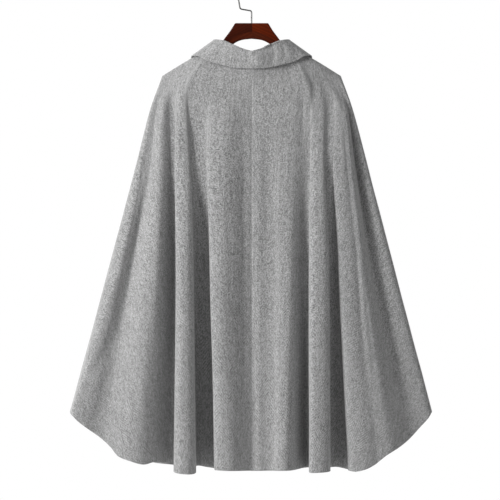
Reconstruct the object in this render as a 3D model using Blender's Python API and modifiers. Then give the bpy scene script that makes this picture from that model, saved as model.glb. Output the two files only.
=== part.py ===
"""A wool cape poncho with a turn-down collar, hanging on a wooden hanger.

Metres, +Z up. The origin is where the hook's inside rests on a rail, so the garment hangs below it.
The front faces -Y and the wearer's left is +X. The four cloth panels meet at the centre-back seam,
at the shoulder and side seams, and at the open centre front.
"""

import math
from collections import namedtuple

import bmesh
import bpy
import numpy as np

# Cloth
CLOTH = 0.002
COLLAR_CLOTH = 0.0025
SEAM_GAP = 0.0003
SEAM_STRIP = 0.003

# Shoulder line and neckline, seen from behind
NECK_HALF_WIDTH = 0.090
NECK_POINT_Z = -0.1625
SHOULDER_ACROSS = (0.090, 0.145, 0.2125)
SHOULDER_HEIGHT = (-0.1625, -0.1917, -0.2328)
SHOULDER_ROUND = 0.024
BACK_NECK_DEPTH, BACK_NECK_FALL = 0.046, 0.0345
FRONT_NECK_DEPTH, FRONT_NECK_FALL = 0.062, 0.0755

# Five levels down the panels, as shares of their length, from the shoulder to the hem
LEVELS = (0.0, 0.10, 0.25, 0.50, 1.0)
# How fully the folds have curled over at those shares of the length
CURL_LEVELS, CURL_SHARES = (0.0, 0.08, 0.28, 1.0), (0.0, 0.15, 1.0, 1.0)
PLAIN_REACH = 0.42
# How far the cloth runs straight back before it turns in to the side seam, against the side crest's depth
SIDE_REACH = 0.6
# Distances below the shoulder line where a panel has a row of points
ROW_DROPS = (0.0, 0.0, 0.002, 0.008, 0.018, 0.036, 0.065, 0.105, 0.16, 0.23, 0.32, 0.44, 0.60, 0.78, 0.96)
PANEL_LENGTH = 0.96
STEP_LENGTH = 0.019
FEWEST_STEPS, MOST_STEPS, TRIAL_STEPS = 2, 6, 24

# The plain hem line of each panel: distance from the centre line, and height, in millimetres
BACK_LEFT_HEM = (
    (0, 60, 100, 138, 192, 234, 256, 290, 318, 336, 362, 392, 418, 433),
    (-1174.6, -1173.2, -1169.8, -1163.5, -1158.5, -1155.5, -1160.2)
    + (-1151.5, -1140, -1118.5, -1096, -1074.5, -1054, -1036),
)
BACK_RIGHT_HEM = (
    (0, 90, 128, 200, 228, 246, 270, 290, 322, 354, 378, 402, 424, 429.5),
    (-1174.8, -1173.4, -1170, -1168.2, -1173, -1176.5, -1171.6)
    + (-1162, -1138, -1118, -1100, -1074, -1049.5, -1038),
)
FRONT_LEFT_HEM = (
    (0, 100, 200, 256, 290, 318, 340, 366, 394, 418, 433),
    (-1176, -1174, -1167, -1161, -1153, -1140, -1119, -1096, -1075, -1054, -1036),
)
FRONT_RIGHT_HEM = (
    (0, 100, 200, 240, 270, 296, 324, 354, 380, 404, 424, 429.5),
    (-1176, -1175, -1171, -1174, -1170, -1160, -1139, -1119, -1100, -1074, -1050, -1038),
)

# One row for each fold line, from the centre seam to the side, in millimetres.
# across: distance from the centre line at the five levels. depth: distance from the shoulder plane.
# inner, outer: how far the cloth runs straight on each way before it turns, against the gap there.
# drop: how far the hem hangs below the plain hem line.
Fold = namedtuple("Fold", "name across depth inner outer drop")

BACK_LEFT = (
    Fold("centre seam", (3, 3, 3, 3, 3), (45, 46, 51, 61, 79), 0.4, 0.24, 0),
    Fold("panel crest", (50, 59, 72, 70, 55), (40, 52, 70, 88, 110), 0.36, 1.1, 0),
    Fold("inner hollow", (90, 150, 144, 130, 120), (22, 49, 39, 39, 18), 1.27, 0.94, 0),
    Fold("round fold", (124, 163, 160, 162, 163), (21, 50, 52, 98, 110), 1.37, 1.75, 20),
    Fold("outer hollow", (155, 194, 192, 186, 192), (20, 27, 26, 18, 17), 1.5, 0.2, 0),
    Fold("wing crest", (176, 211, 219, 231, 281), (19, 33, 40, 69, 81), 0.47, 0.46, 0),
    Fold("wing hollow", (191, 228, 241, 282, 358), (18, 18, 21, 31, 60), 0.22, 0.48, 0),
    Fold("side crest", (203, 236, 258, 300, 425), (16, 17, 23, 44, 70), 0.63, 0.59, 0),
    Fold("side seam", (212.5, 241.4, 272.4, 325.4, 433), (0, 0, 0, 0, 0), 0.0, 0.0, 0),
)

BACK_RIGHT = (
    Fold("centre seam", (3, 3, 3, 3, 3), (45, 46, 51, 61, 79), 0.4, 0.61, 0),
    Fold("seam crest", (12, 11, 14, 15, 15), (44, 47, 51, 62, 85), 0.62, 0.54, 0),
    Fold("seam hollow", (28, 34, 34, 36, 34), (43, 47, 48, 59, 83), 0.49, 0.76, 0),
    Fold("panel crest", (62, 91, 85, 87, 77), (37, 46, 51, 65, 101), 0.66, 0.43, 0),
    Fold("inner hollow", (90, 131, 133, 131, 135), (22, 43, 42, 34, 19), 0.31, 1.25, 0),
    Fold("round fold", (118, 155, 159, 154, 146), (21, 37, 67, 96, 110), 1.62, 1.35, 9),
    Fold("outer hollow", (147, 193, 179, 198, 208), (20, 30, 56, 51, 23), 1.02, 1.25, 0),
    Fold("wing crest", (166, 207, 214, 219, 256), (19, 35, 59, 78, 87), 1.19, 0.6, 0),
    Fold("wing dip", (180, 215, 228, 254, 303), (18, 35, 55, 71, 76), 0.16, 0.52, 0),
    Fold("wing second crest", (188, 222, 236, 262, 320), (18, 34, 54, 70, 74), 0.34, 0.51, 0),
    Fold("wing hollow", (196, 229, 247, 280, 379), (17, 20, 20, 32, 33), 0.2, 0.25, 0),
    Fold("side crest", (204, 236, 267, 315, 416), (15, 23, 32, 43, 31), 0.71, 1.39, 0),
    Fold("side seam", (212.5, 240.9, 272.0, 323.7, 429.5), (0, 0, 0, 0, 0), 0.0, 0.0, 0),
)

FRONT_LEFT = (
    Fold("front edge", (4, 4, 5, 6, 10), (60, 62, 68, 78, 90), 0.4, 0.5, -4),
    Fold("edge crest", (34, 46, 52, 58, 72), (52, 62, 74, 87, 102), 0.6, 1.2, 0),
    Fold("inner hollow", (64, 84, 96, 107, 122), (38, 48, 40, 30, 30), 1.1, 1.2, -4),
    Fold("round fold", (90, 122, 134, 145, 160), (22, 46, 69, 90, 104), 1.3, 1.3, 8),
    Fold("outer hollow", (134, 164, 177, 189, 206), (21, 36, 31, 25, 26), 1.2, 0.7, -2),
    Fold("wing crest", (160, 196, 214, 235, 272), (20, 38, 56, 70, 84), 0.8, 0.6, 0),
    Fold("wing hollow", (184, 222, 246, 282, 362), (18, 19, 20, 26, 36), 0.6, 0.6, 0),
    Fold("side crest", (202, 236, 264, 309, 410), (16, 16, 20, 28, 37), 0.6, 0.6, 0),
    Fold("side seam", (212.5, 241.4, 272.4, 325.4, 433), (0, 0, 0, 0, 0), 0.0, 0.0, 0),
)

FRONT_RIGHT = (
    Fold("front edge", (4, 4, 5, 6, 10), (60, 62, 68, 78, 90), 0.4, 0.5, -4),
    Fold("edge crest", (38, 50, 57, 65, 80), (51, 62, 74, 86, 99), 0.6, 1.1, 0),
    Fold("inner hollow", (66, 92, 106, 119, 134), (34, 46, 40, 32, 32), 1.0, 1.2, -4),
    Fold("round fold", (90, 128, 141, 153, 170), (22, 45, 68, 87, 101), 1.3, 1.3, 6),
    Fold("outer hollow", (138, 168, 181, 194, 212), (21, 34, 30, 26, 27), 1.2, 0.8, -2),
    Fold("wing crest", (164, 200, 217, 236, 268), (20, 37, 55, 68, 82), 0.9, 0.6, 0),
    Fold("wing hollow", (186, 224, 248, 284, 358), (18, 19, 20, 28, 38), 0.6, 0.6, 0),
    Fold("side crest", (202, 236, 264, 309, 408), (16, 16, 19, 27, 36), 0.6, 0.6, 0),
    Fold("side seam", (212.5, 240.9, 272.0, 323.7, 429.5), (0, 0, 0, 0, 0), 0.0, 0.0, 0),
)

# Collar: one row for each direction round the neck, 0 degrees behind and 180 in front, in millimetres.
# roll: the fold line along its top. edge: its outer edge.
Station = namedtuple("Station", "angle roll edge")

COLLAR = (
    Station(0, (0, 49, -174.0), (0, 52, -216.2)),
    Station(16, (23, 48, -167.6), (32, 51, -215.2)),
    Station(33, (47, 43, -157.0), (63, 48, -209.3)),
    Station(52, (68, 33, -147.8), (102, 41, -198.0)),
    Station(72, (84, 17, -144.6), (131, 29, -183.6)),
    Station(90, (89, 0, -143.9), (143.5, 0, -182.3)),
    Station(108, (84, -19, -149.8), (146, -26, -189.0)),
    Station(128, (68, -38, -166.0), (138, -48, -212.0)),
    Station(150, (42, -57, -192.0), (115, -62, -250.0)),
    Station(171, (16, -68, -213.0), (84, -69, -290.0)),
)
COLLAR_END_ANGLE = 171
ROLL_RADIUS = 0.005
ROLL_TURNS = (180, 150, 120, 90, 60, 30)
ROLL_STAND_SHARE = 0.18
LEAST_SPAN = 4
STAND_LIFT, SIDE_STAND_LIFT = 0.0007, 0.0050
STAND_TOP_GAP = 0.0013
STAND_UPRIGHT = 0.002
STAND_SHARES = (0.0, 0.33, 0.67, 1.0)
FALL_BOW = 0.004
FALL_SHARES = (0.12, 0.3, 0.5, 0.7, 0.86, 1.0)

# Hanger: the wooden outline from the centre of its top to the tip and back under the arm
WOOD_TOP_Z = -0.1051
WOOD_THICKNESS = 0.014
WOOD_ROUNDING = 0.0025
WOOD_OUTLINE = (
    (0.0400, -0.1051),
    (0.0455, -0.1143),
    (0.0513, -0.1235),
    (0.0583, -0.1330),
    (0.0675, -0.1455),
    (0.0755, -0.1600),
    (0.0840, -0.1705),
    (0.0980, -0.1775),
    (0.1400, -0.1945),
    (0.1900, -0.2240),
    (0.2010, -0.2328),
    (0.2040, -0.2385),
    (0.2000, -0.2445),
    (0.1900, -0.2465),
    (0.1300, -0.2140),
    (0.0850, -0.1905),
    (0.0600, -0.1697),
    (0.0420, -0.1538),
    (0.0240, -0.1455),
    (0.0000, -0.1425),
)

# Hook: a round wire that leaves the wood, cranks aside and curves over the rail
WIRE_RADIUS = 0.0017
HOOK_RADIUS = 0.034
HOOK_STEM_FOOT_Z = WOOD_TOP_Z - 0.020
HOOK_CRANK_Z = -0.0756
HOOK_CRANK_RISE = 0.0046
HOOK_BEND_RADIUS = 0.0045
HOOK_ELBOW_INSET = 0.0065
HOOK_START_ANGLE, HOOK_END_ANGLE, HOOK_STEP_ANGLE = -18, 192, 9
STEM_HOLE_RADIUS = WIRE_RADIUS + SEAM_GAP
STEM_DRILL_LENGTH = 0.06

WOOL = ((0.36, 0.36, 0.36, 1.0), 0.9, 0.0)
MAHOGANY = ((0.09, 0.018, 0.008, 1.0), 0.3, 0.0)
STEEL = ((0.45, 0.45, 0.44, 1.0), 0.3, 1.0)


def track(stations, values, at):
    """A smooth line through a few stations that doesn't overshoot between them."""
    stations = np.asarray(stations, float)
    values = np.asarray(values, float)
    at = np.asarray(at, float)
    width = np.diff(stations)
    rise = np.diff(values) / width
    slope = np.zeros_like(values)
    slope[0], slope[-1] = rise[0], rise[-1]
    for i in range(1, len(values) - 1):
        if rise[i - 1] * rise[i] > 0:
            slope[i] = 2 * rise[i - 1] * rise[i] / (rise[i - 1] + rise[i])
    i = np.clip(np.searchsorted(stations, at, side="right") - 1, 0, len(width) - 1)
    t = (at - stations[i]) / width[i]
    start = (1 + 2 * t) * (1 - t) ** 2 * values[i] + t * (1 - t) ** 2 * width[i] * slope[i]
    end = t * t * (3 - 2 * t) * values[i + 1] + t * t * (t - 1) * width[i] * slope[i + 1]
    return start + end


def bezier(start, start_handle, end_handle, end, t):
    """Points of a cubic Bezier at the shares t, one row each."""
    t = np.asarray(t, float)[:, None]
    near = (1 - t) ** 3 * start + 3 * (1 - t) ** 2 * t * start_handle
    return near + 3 * (1 - t) * t * t * end_handle + t**3 * end


def neck_ellipse(across):
    """1 at the centre line and 0 at the neck point, as a round neckline runs."""
    return np.sqrt(np.clip(1 - (across / NECK_HALF_WIDTH) ** 2, 0, 1))


def top_edge(across, neck_depth, neck_fall):
    """Distance from the shoulder plane and height of a panel's top edge: its neckline, then its shoulder seam."""
    round_neck = neck_ellipse(across)
    on_neck = across < NECK_HALF_WIDTH
    depth = np.where(on_neck, neck_depth * round_neck, 0.0)
    shoulder = track(SHOULDER_ACROSS, SHOULDER_HEIGHT, across)
    height = np.where(on_neck, NECK_POINT_Z - neck_fall * round_neck, shoulder)
    return depth, height


def section(folds, share, steps):
    """One level of a panel, from the centre seam to the side seam: rows of (across, depth)."""
    across = [track(LEVELS, fold.across, share) / 1000 for fold in folds]
    depth = [track(LEVELS, fold.depth, share) / 1000 for fold in folds]
    curl = track(CURL_LEVELS, CURL_SHARES, share)
    points = [np.array([[SEAM_GAP / 2, depth[0]], [across[0], depth[0]]])]
    for i, count in enumerate(steps):
        here, there = folds[i], folds[i + 1]
        start = np.array([across[i], depth[i]])
        gap = across[i + 1] - across[i]
        reach = PLAIN_REACH + (here.outer - PLAIN_REACH) * curl
        start_handle = start + (reach * gap, 0)
        if i < len(steps) - 1:
            end = np.array([across[i + 1], depth[i + 1]])
            reach = PLAIN_REACH + (there.inner - PLAIN_REACH) * curl
            end_handle = end - (reach * gap, 0)
        else:
            end = np.array([across[i + 1], SEAM_STRIP])
            end_handle = end + (0, SIDE_REACH * depth[i])
        t = np.linspace(0, 1, count + 1)[1:]
        points.append(bezier(start, start_handle, end_handle, end, t))
    points.append(np.array([[across[-1], SEAM_GAP / 2]]))
    return np.vstack(points)


def fold_steps(folds):
    """How many strips each fold gets, from its length along the hem."""
    counts = []
    for i in range(len(folds) - 1):
        trial = [1] * (len(folds) - 1)
        trial[i] = TRIAL_STEPS
        hem = section(folds, 1.0, trial)[1 + i : 2 + i + TRIAL_STEPS]
        length = np.linalg.norm(np.diff(hem, axis=0), axis=1).sum()
        counts.append(int(np.clip(round(length / STEP_LENGTH), FEWEST_STEPS, MOST_STEPS)))
    return counts


def hem_drops(folds, steps):
    """How far each column's hem hangs below the plain hem line, eased from fold to fold."""
    drops = [folds[0].drop, folds[0].drop]
    for i, count in enumerate(steps):
        t = np.linspace(0, 1, count + 1)[1:]
        eased = t * t * (3 - 2 * t)
        drops.extend(folds[i].drop + (folds[i + 1].drop - folds[i].drop) * eased)
    drops.append(folds[-1].drop)
    return np.array(drops) / 1000


def panel_points(folds, hem, neck_depth, neck_fall):
    """A panel's outer face as a grid of (across, depth, height), a row for each level."""
    steps = fold_steps(folds)
    shares = np.array(ROW_DROPS) / PANEL_LENGTH
    rows = np.array([section(folds, share, steps) for share in shares])
    across, depth = rows[:, :, 0], rows[:, :, 1]
    top_depth, top_height = top_edge(across[0], neck_depth, neck_fall)
    plain = track(hem[0], hem[1], across[-1] * 1000) / 1000
    hem_height = plain - hem_drops(folds, steps)
    height = top_height + shares[:, None] * (hem_height - top_height)
    fallen = np.clip((top_height - height) / SHOULDER_ROUND, 0, 1)
    rounded = np.sqrt(1 - (1 - fallen) ** 2)
    strip = np.full(len(shares), SEAM_STRIP)
    strip[0] = SEAM_GAP / 2
    on_shoulder = across[0] >= NECK_HALF_WIDTH
    start = np.where(on_shoulder, np.minimum(strip[:, None], depth), top_depth)
    return np.stack([across, start + (depth - start) * rounded, height], axis=-1)


def new_collection(name):
    collection = bpy.data.collections.new(name)
    bpy.context.scene.collection.children.link(collection)
    return collection


def material(name, finish):
    made = bpy.data.materials.new(name)
    made.use_nodes = True
    shader = made.node_tree.nodes["Principled BSDF"]
    shader.inputs["Base Color"].default_value = finish[0]
    shader.inputs["Roughness"].default_value = finish[1]
    shader.inputs["Metallic"].default_value = finish[2]
    return made


def cloth(name, grid, flip, thickness, collection, finish):
    """A sheet of quads through a grid of points, with its wall on the side away from its faces."""
    rows, columns = grid.shape[:2]
    mesh = bpy.data.meshes.new(name)
    shape = bmesh.new()
    points = [[shape.verts.new(p) for p in row] for row in grid]
    for r in range(rows - 1):
        for c in range(columns - 1):
            corners = [points[r][c], points[r + 1][c], points[r + 1][c + 1], points[r][c + 1]]
            shape.faces.new(corners[::-1] if flip else corners)
    shape.to_mesh(mesh)
    shape.free()
    mesh.shade_smooth()
    made = bpy.data.objects.new(name, mesh)
    mesh.materials.append(finish)
    wall = made.modifiers.new("cloth thickness", "SOLIDIFY")
    wall.thickness = thickness
    wall.offset = -1
    collection.objects.link(made)


def panel(name, folds, hem, side, face, collection, finish):
    """One cloth panel. side is 1 for the wearer's left, and face is 1 for the back."""
    if face > 0:
        grid = panel_points(folds, hem, BACK_NECK_DEPTH, BACK_NECK_FALL)
    else:
        grid = panel_points(folds, hem, FRONT_NECK_DEPTH, FRONT_NECK_FALL)
    cloth(name, grid * (side, face, 1), side * face < 0, CLOTH, collection, finish)


def neck_angles(back, front):
    """Directions round one half of the neck, one for each column of its two panels that ends on the neckline."""
    angles = []
    for folds, opposite in ((back, False), (front, True)):
        across = section(folds, 0.0, fold_steps(folds))[:, 0]
        across = across[(across > 0) & (across <= NECK_HALF_WIDTH)]
        turn = np.degrees(np.arcsin(across / NECK_HALF_WIDTH))
        angles.extend(180 - turn if opposite else turn)
    kept = []
    for angle in sorted(angles):
        if angle - (kept[-1] if kept else 0) >= LEAST_SPAN and COLLAR_END_ANGLE - angle >= LEAST_SPAN:
            kept.append(angle)
    return kept + [COLLAR_END_ANGLE]


def collar_guides():
    """The neck seam, roll line and outer edge all the way round, from the right front to the left front."""
    angles = [station.angle for station in COLLAR]
    right, left = neck_angles(BACK_RIGHT, FRONT_RIGHT), neck_angles(BACK_LEFT, FRONT_LEFT)
    at = np.array([-angle for angle in reversed(right)] + [0] + left)
    turn = np.radians(at)
    behind = np.cos(turn) >= 0
    neck_depth = np.where(behind, BACK_NECK_DEPTH, FRONT_NECK_DEPTH)
    neck_fall = np.where(behind, BACK_NECK_FALL, FRONT_NECK_FALL)
    height = NECK_POINT_Z - neck_fall * abs(np.cos(turn))
    neck = np.stack([NECK_HALF_WIDTH * np.sin(turn), neck_depth * np.cos(turn), height], axis=-1)
    guides = []
    for line in ("roll", "edge"):
        points = np.array([getattr(station, line) for station in COLLAR]) / 1000
        parts = [track(angles, points[:, k], abs(at)) for k in range(3)]
        guides.append(np.stack([np.sign(at) * parts[0], parts[1], parts[2]], axis=-1))
    return turn, neck, guides[0], guides[1]


def unit(vectors):
    return vectors / np.linalg.norm(vectors, axis=-1, keepdims=True)


def collar_frame(roll, edge):
    """At each station: the way out across the roll, and the way up square to the roll and to that."""
    along = unit(np.gradient(roll, axis=0))
    out = edge - roll
    out = out - (out * along).sum(-1, keepdims=True) * along
    out[:, 2] = 0
    out = unit(out)
    up = unit(np.cross(out, along))
    up = np.where(up[:, 2:] < 0, -up, up)
    return out, up


def collar_fall(collection, finish):
    """The fall: from just inside the roll, over it, and down to the outer edge."""
    turn, neck, roll, edge = collar_guides()
    out, up = collar_frame(roll, edge)
    centre = roll - up * ROLL_RADIUS
    rows = []
    inside_foot = centre - out * ROLL_RADIUS + (neck - roll) * ROLL_STAND_SHARE
    rows.append(inside_foot)
    for degrees in ROLL_TURNS:
        over = math.radians(degrees)
        rows.append(centre + ROLL_RADIUS * (out * math.cos(over) + up * math.sin(over)))
    start = rows[-1]
    for share in FALL_SHARES:
        bow = FALL_BOW * 4 * share * (1 - share) * np.cos(turn)[:, None] ** 2
        rows.append(start + (edge - start) * share + (out + up / 2) * bow)
    cloth("collar_fall", np.array(rows), True, COLLAR_CLOTH, collection, finish)


def collar_stand(collection, finish):
    """The stand: from the neck seam up to the fall, inside the collar."""
    _, neck, roll, edge = collar_guides()
    out, up = collar_frame(roll, edge)
    top = roll - up * ROLL_RADIUS - out * ROLL_RADIUS + (neck - roll) * ROLL_STAND_SHARE
    along = unit(np.gradient(neck, axis=0))
    sideways = (neck[:, :1] / NECK_HALF_WIDTH) ** 4
    foot = neck + unit((0, 0, 1) - along * along[:, 2:]) * (STAND_LIFT + SIDE_STAND_LIFT * sideways)
    upright = foot + (0, 0, STAND_UPRIGHT)
    start = top + unit(upright - top) * STAND_TOP_GAP
    rows = [start + (upright - start) * share for share in STAND_SHARES] + [foot]
    cloth("collar_stand", np.array(rows), True, COLLAR_CLOTH, collection, finish)


def hook_route():
    """The wire's centreline: up the stem, across the crank and over the rail, in the X-Z plane."""
    arc = []
    for degrees in range(HOOK_START_ANGLE, HOOK_END_ANGLE + HOOK_STEP_ANGLE, HOOK_STEP_ANGLE):
        turn = math.radians(min(degrees, HOOK_END_ANGLE))
        arc.append(HOOK_RADIUS * np.array([math.cos(turn), math.sin(turn) - 1]) + (0, WIRE_RADIUS))
    elbow = np.array([HOOK_RADIUS - HOOK_ELBOW_INSET, HOOK_CRANK_Z + HOOK_CRANK_RISE])
    stops = [np.array([0, HOOK_STEM_FOOT_Z]), np.array([0, HOOK_CRANK_Z]), elbow, arc[0]]
    route = [stops[0]]
    for before, here, after in zip(stops, stops[1:], stops[2:]):
        start = here + unit(before - here) * HOOK_BEND_RADIUS
        end = here + unit(after - here) * HOOK_BEND_RADIUS
        route.extend(bezier(start, (start + 2 * here) / 3, (end + 2 * here) / 3, end, np.linspace(0, 1, 5)))
    return route + arc


def hook(collection, finish):
    curve = bpy.data.curves.new("hanger_hook", "CURVE")
    curve.dimensions = "3D"
    curve.bevel_depth = WIRE_RADIUS
    curve.bevel_resolution = 2
    curve.use_fill_caps = True
    route = hook_route()
    spline = curve.splines.new("POLY")
    spline.points.add(len(route) - 1)
    for point, (x, z) in zip(spline.points, route):
        point.co = (x, 0, z, 1)
    curve.materials.append(finish)
    collection.objects.link(bpy.data.objects.new("hanger_hook", curve))


def wood(collection, cutters, finish):
    """The hanger's wooden body: a flat outline with rounded edges, drilled for the hook's stem."""
    outline = list(WOOD_OUTLINE) + [(-x, z) for x, z in reversed(WOOD_OUTLINE[:-1])]
    curve = bpy.data.curves.new("hanger_outline", "CURVE")
    curve.dimensions = "2D"
    curve.fill_mode = "BOTH"
    curve.extrude = WOOD_THICKNESS / 2 - WOOD_ROUNDING
    curve.bevel_depth = WOOD_ROUNDING
    curve.bevel_resolution = 1
    curve.offset = -WOOD_ROUNDING
    curve.materials.append(finish)
    spline = curve.splines.new("POLY")
    spline.use_cyclic_u = True
    spline.points.add(len(outline) - 1)
    for point, (x, z) in zip(spline.points, outline):
        point.co = (x, z, 0, 1)
    shape = bpy.data.objects.new("hanger_outline", curve)
    shape.rotation_euler = (math.radians(90), 0, 0)
    collection.objects.link(shape)
    bpy.context.view_layer.update()
    mesh = bpy.data.meshes.new_from_object(shape.evaluated_get(bpy.context.evaluated_depsgraph_get()))
    welded = bmesh.new()
    welded.from_mesh(mesh)
    bmesh.ops.remove_doubles(welded, verts=welded.verts, dist=0.00001)
    welded.to_mesh(mesh)
    welded.free()
    made = bpy.data.objects.new("hanger_wood", mesh)
    made.matrix_world = shape.matrix_world
    collection.objects.link(made)
    bpy.data.objects.remove(shape)
    hole = made.modifiers.new("stem hole", "BOOLEAN")
    hole.operation = "DIFFERENCE"
    hole.object = stem_drill(cutters)


def stem_drill(cutters):
    foot = HOOK_STEM_FOOT_Z - SEAM_GAP
    bpy.ops.mesh.primitive_cylinder_add(
        vertices=20,
        radius=STEM_HOLE_RADIUS,
        depth=STEM_DRILL_LENGTH,
        location=(0, 0, foot + STEM_DRILL_LENGTH / 2),
    )
    drill = bpy.context.object
    drill.name = "stem_drill"
    drill.hide_render = True
    drill.display_type = "WIRE"
    for owner in drill.users_collection:
        owner.objects.unlink(drill)
    cutters.objects.link(drill)
    return drill


def main():
    for old in list(bpy.data.objects):
        bpy.data.objects.remove(old, do_unlink=True)
    collection = new_collection("cape_poncho")
    cutters = new_collection("cutters")
    wool = material("wool", WOOL)
    mahogany = material("mahogany", MAHOGANY)
    steel = material("steel", STEEL)
    panel("back_left", BACK_LEFT, BACK_LEFT_HEM, 1, 1, collection, wool)
    panel("back_right", BACK_RIGHT, BACK_RIGHT_HEM, -1, 1, collection, wool)
    panel("front_left", FRONT_LEFT, FRONT_LEFT_HEM, 1, -1, collection, wool)
    panel("front_right", FRONT_RIGHT, FRONT_RIGHT_HEM, -1, -1, collection, wool)
    collar_fall(collection, wool)
    collar_stand(collection, wool)
    wood(collection, cutters, mahogany)
    hook(collection, steel)


main()
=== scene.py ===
"""Looks of a grey herringbone wool cape poncho, hung by its hanger and seen from behind.

Metres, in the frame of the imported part: +Z up, the origin inside the top of the hook, +X the wearer's
left and -Y the garment's front. Each cloth panel is one thin sheet on its solid's form, laid out with
its flat cut as the map that the weave follows.
"""

import math
from collections import namedtuple

import bmesh
import bpy
import numpy as np
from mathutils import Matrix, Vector, noise


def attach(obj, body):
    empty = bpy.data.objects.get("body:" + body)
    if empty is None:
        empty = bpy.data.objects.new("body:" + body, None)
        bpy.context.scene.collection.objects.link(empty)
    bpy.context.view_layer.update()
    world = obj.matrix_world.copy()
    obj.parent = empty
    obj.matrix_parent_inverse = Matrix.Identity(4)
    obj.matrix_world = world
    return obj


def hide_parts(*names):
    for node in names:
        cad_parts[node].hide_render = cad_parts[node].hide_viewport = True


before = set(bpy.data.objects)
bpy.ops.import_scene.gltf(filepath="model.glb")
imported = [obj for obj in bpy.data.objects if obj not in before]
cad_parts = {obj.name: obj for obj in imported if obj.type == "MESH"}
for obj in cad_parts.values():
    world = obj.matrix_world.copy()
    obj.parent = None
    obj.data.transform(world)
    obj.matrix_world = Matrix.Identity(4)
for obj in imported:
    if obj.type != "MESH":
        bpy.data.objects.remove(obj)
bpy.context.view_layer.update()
bpy.ops.object.select_all(action="DESELECT")

# Cloth and its making
CLOTH = 0.002
COLLAR_CLOTH = 0.0025
HEM_ROUNDING = 0.0006
SEAM_STRIP = 0.003
COLUMN_STEP = 0.0055
FEWEST_COLUMNS = 3
TRIAL_STEPS = 48
ROW_STEP = 0.010
SHOULDER_DROPS = (
    0, 0, 0.0004, 0.0012, 0.0025, 0.0042, 0.0064, 0.009, 0.0122, 0.016, 0.0205, 0.026, 0.033, 0.042,
)
# Sewn edges sink in: how deep, and how far that spreads from the seam
SEAM_SINK, SEAM_SPREAD = 0.0010, 0.0022
# The centre seam lies flatter this far down from the neck
SEAM_FLAT = 0.09
# Near the shoulder the cloth lies smooth: where down the panel that begins to end and where it ends, how
# far across the depths are averaged, and how far in from the panel's edges it takes to begin
SHOULDER_EASE_START, SHOULDER_EASE_END = 0.065, 0.135
SHOULDER_EASE_SPREAD, SHOULDER_EASE_CLEAR = 0.052, 0.022
# Creases die out this far from a panel's edges, and over this share of their own length at each end
CREASE_CLEAR = 0.012
CREASE_FADE = 0.3
# The cloth's own unevenness: height, and length across and along the hang
WAVER, WAVER_ACROSS, WAVER_ALONG = 0.0006, 0.055, 0.30

# Shoulder line and neckline
NECK_HALF_WIDTH = 0.090
NECK_POINT_Z = -0.1625
SHOULDER_ACROSS = (0.090, 0.145, 0.2125)
SHOULDER_HEIGHT = (-0.1625, -0.1917, -0.2328)
SHOULDER_ROUND = 0.024
BACK_NECK_DEPTH, BACK_NECK_FALL = 0.046, 0.0345
FRONT_NECK_DEPTH, FRONT_NECK_FALL = 0.062, 0.0755

# Five levels down the panels, as shares of their length, from the shoulder to the hem
LEVELS = (0.0, 0.10, 0.25, 0.50, 1.0)
CURL_LEVELS, CURL_SHARES = (0.0, 0.08, 0.28, 1.0), (0.0, 0.15, 1.0, 1.0)
PLAIN_REACH = 0.42
SIDE_REACH = 0.6
PANEL_LENGTH = 0.96

# The plain hem line of each panel: distance from the centre line, and height, in millimetres
BACK_LEFT_HEM = (
    (0, 60, 100, 138, 192, 234, 256, 290, 318, 336, 362, 392, 418, 433),
    (-1174.6, -1173.2, -1169.8, -1163.5, -1158.5, -1155.5, -1160.2)
    + (-1151.5, -1140, -1118.5, -1096, -1074.5, -1054, -1036),
)
BACK_RIGHT_HEM = (
    (0, 90, 128, 200, 228, 246, 270, 290, 322, 354, 378, 402, 424, 429.5),
    (-1174.8, -1173.4, -1170, -1168.2, -1173, -1176.5, -1171.6)
    + (-1162, -1138, -1118, -1100, -1074, -1049.5, -1038),
)
FRONT_LEFT_HEM = (
    (0, 100, 200, 256, 290, 318, 340, 366, 394, 418, 433),
    (-1176, -1174, -1167, -1161, -1153, -1140, -1119, -1096, -1075, -1054, -1036),
)
FRONT_RIGHT_HEM = (
    (0, 100, 200, 240, 270, 296, 324, 354, 380, 404, 424, 429.5),
    (-1176, -1175, -1171, -1174, -1170, -1160, -1139, -1119, -1100, -1074, -1050, -1038),
)

# One row for each fold line from the centre seam to the side, in millimetres at the five levels.
# across: distance from the centre line. depth: from the shoulder plane. inner, outer: how far the cloth
# runs straight on each way before it turns. drop: how far the hem hangs below the plain hem line.
Fold = namedtuple("Fold", "name across depth inner outer drop")

BACK_LEFT = (
    Fold("centre seam", (3, 3, 3, 3, 3), (45, 46, 51, 61, 79), 0.4, 0.24, 0),
    Fold("panel crest", (50, 59, 72, 70, 55), (40, 52, 70, 88, 110), 0.36, 1.1, 0),
    Fold("inner hollow", (90, 150, 144, 130, 120), (22, 49, 39, 39, 18), 1.27, 0.94, 0),
    Fold("round fold", (124, 163, 160, 162, 163), (21, 50, 52, 98, 110), 1.37, 1.75, 20),
    Fold("outer hollow", (155, 194, 192, 186, 192), (20, 27, 26, 18, 17), 1.5, 0.2, 0),
    Fold("wing crest", (176, 211, 219, 231, 281), (19, 33, 40, 69, 81), 0.47, 0.46, 0),
    Fold("wing hollow", (191, 228, 241, 282, 358), (18, 18, 21, 31, 60), 0.22, 0.48, 0),
    Fold("side crest", (203, 236, 258, 300, 425), (16, 17, 23, 44, 70), 0.63, 0.59, 0),
    Fold("side seam", (212.5, 241.4, 272.4, 325.4, 433), (0, 0, 0, 0, 0), 0.0, 0.0, 0),
)

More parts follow.
